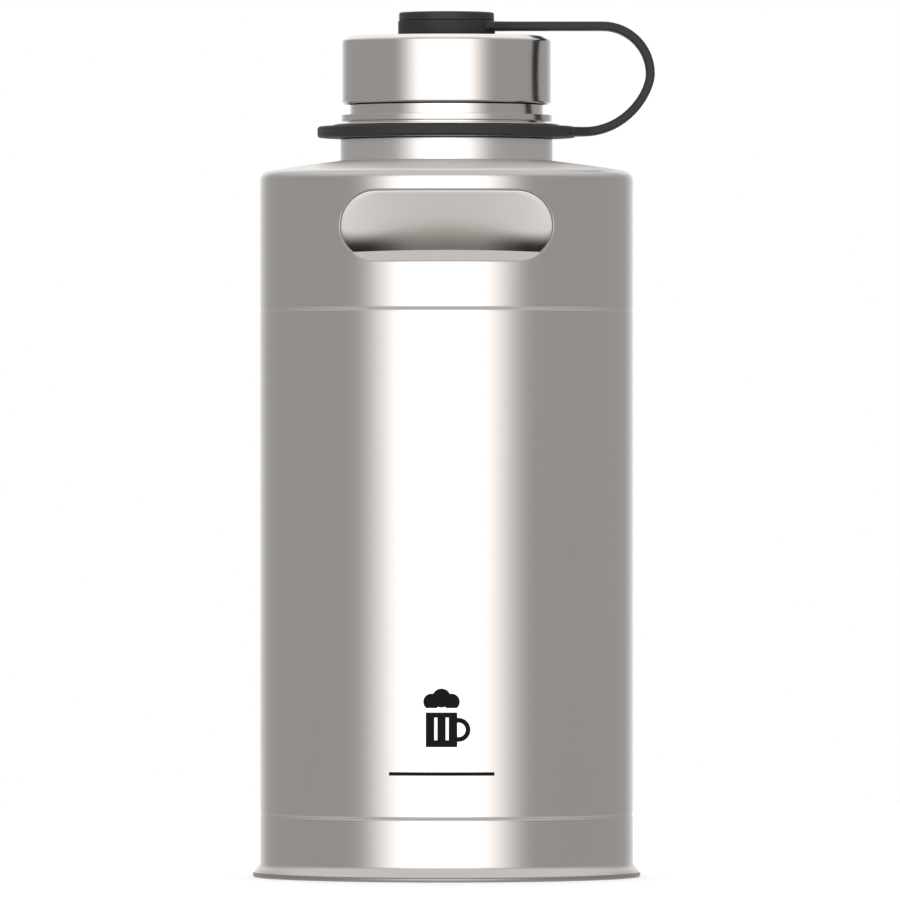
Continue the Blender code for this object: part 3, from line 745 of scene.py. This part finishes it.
mug = combined(slab(-5.0, 5.0, -7.0, 4.0), slab(-2.3, -1.3, -4.8, 2.4, CUTTER_DEPTH), "DIFFERENCE")
mug = combined(mug, slab(1.3, 2.3, -4.8, 2.4, CUTTER_DEPTH), "DIFFERENCE")
handle = combined(rod(5.4, -1.5, 3.8), rod(5.4, -1.5, 2.3, CUTTER_DEPTH), "DIFFERENCE")
handle = combined(handle, slab(-1.0, 4.4, -8.0, 8.0, CUTTER_DEPTH), "DIFFERENCE")
head = combined(rod(-3.2, 7.4, 2.6), rod(3.2, 7.4, 2.6), "UNION")
head = combined(head, rod(0.0, 8.6, 3.0), "UNION")
head = combined(head, slab(-9.0, 9.0, 0.0, 5.4, CUTTER_DEPTH), "DIFFERENCE")
sign = combined(mug, handle, "UNION")
sign = combined(sign, head, "UNION")
sign = combined(sign, slab(-17.0, 17.0, -16.1, -15.0), "UNION")
for step in range(-17, 18):
    bmesh.ops.bisect_plane(sign, geom=sign.verts[:] + sign.edges[:] + sign.faces[:],
                           plane_co=(step + 0.01, 0.0, 0.0), plane_no=(1.0, 0.0, 0.0))
for v in sign.verts:
    reach = WALL_R + (INK_PROUD if v.co.y < 0 else -INK_SUNK)
    angle = (v.co.x + SIGN_X) / WALL_R
    v.co = Vector((reach * math.sin(angle), -reach * math.cos(angle), SIGN_Z + v.co.z))


def ink_finish(name):
    """Screen-printed ink: near black, a little uneven, with the steel's grain showing through."""
    material = bpy.data.materials.new(name)
    nodes = Nodes(material)
    x, y, z = nodes.place()
    grain = nodes.noise(x * 18, y * 18, z * 7000, 3.0, 0.6)
    film = nodes.noise(x * 700, y * 700, z * 700, 3.0, 0.6)
    nodes.fill(nodes.tree.nodes["Principled BSDF"], {
        "Base Color": nodes.blend(film, rgb(0.002, 0.002, 0.002), rgb(0.006, 0.006, 0.006)),
        "Roughness": 0.55 + film * 0.15, "Specular IOR Level": 0.12,
        "Normal": nodes.bump(grain * 0.5 + film, 0.00002, 0.6)})
    return material


printed = finished("printed_sign", sign, ink_finish("sign_ink"))
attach(printed, "vessel")


# Studio: a pale floor, and soft light from a wide box in front, a narrower one behind, and the
# room's grey walls. The camera stands level with the bottle's middle, and far off, so lines stay
# straight.

FLOOR_R = 900.0
SENSOR = 36.0
CAMERA_AWAY = 4.4
VIEW_SPAN = 0.28986
CAMERA_X = 0.0011
CAMERA_Z = 0.1374

scene = bpy.context.scene
scene.view_settings.view_transform = "Standard"

studio = bpy.data.worlds.new("studio")
scene.world = studio
nodes = Nodes(studio)
direction = nodes.add("ShaderNodeTexCoord", output="Generated")
across = nodes.add("ShaderNodeSeparateXYZ", sockets={0: direction})
azimuth = across.maths("ARCTAN2", across, 0.0 - across.out("Y"))
rise = across.maths("ARCSINE", across.out("Z"))
height = abs(rise)
front = nodes.fade(abs(azimuth + math.radians(2.9)), math.radians(58), math.radians(15))
front = front * nodes.fade(height, math.radians(30), math.radians(6))
behind = nodes.fade(abs(azimuth), math.radians(142), math.radians(178))
room = nodes.fade(height, math.radians(6), math.radians(40))
above = nodes.fade(rise, math.radians(12), math.radians(50))
light = 0.47 + front * 1.75 + behind * 0.6 + room * 0.33 + above * 0.1
seen = nodes.add("ShaderNodeLightPath", output="Is Camera Ray")
strength = light + (1.0 - light) * seen
nodes.fill(nodes.tree.nodes["Background"], {"Color": rgb(1.0, 1.0, 1.0), "Strength": strength})

floor_bm = bmesh.new()
bmesh.ops.create_circle(floor_bm, cap_ends=True, segments=128, radius=FLOOR_R)
floor_material = bpy.data.materials.new("floor_paper")
floor_nodes = Nodes(floor_material)
floor_nodes.fill(floor_nodes.tree.nodes["Principled BSDF"], {
    "Base Color": rgb(0.9, 0.9, 0.89), "Roughness": 0.9, "Specular IOR Level": 0.1,
    "Emission Color": rgb(1.0, 1.0, 1.0), "Emission Strength": 0.3})
floor = finished("floor", floor_bm, floor_material)
floor.visible_glossy = False

camera = bpy.data.cameras.new("camera")
camera.sensor_width = SENSOR
camera.lens = SENSOR * CAMERA_AWAY / VIEW_SPAN
eye = bpy.data.objects.new("camera", camera)
eye.location = (CAMERA_X, -CAMERA_AWAY, CAMERA_Z)
eye.rotation_euler = (math.radians(90), 0.0, 0.0)
scene.collection.objects.link(eye)
scene.camera = eye
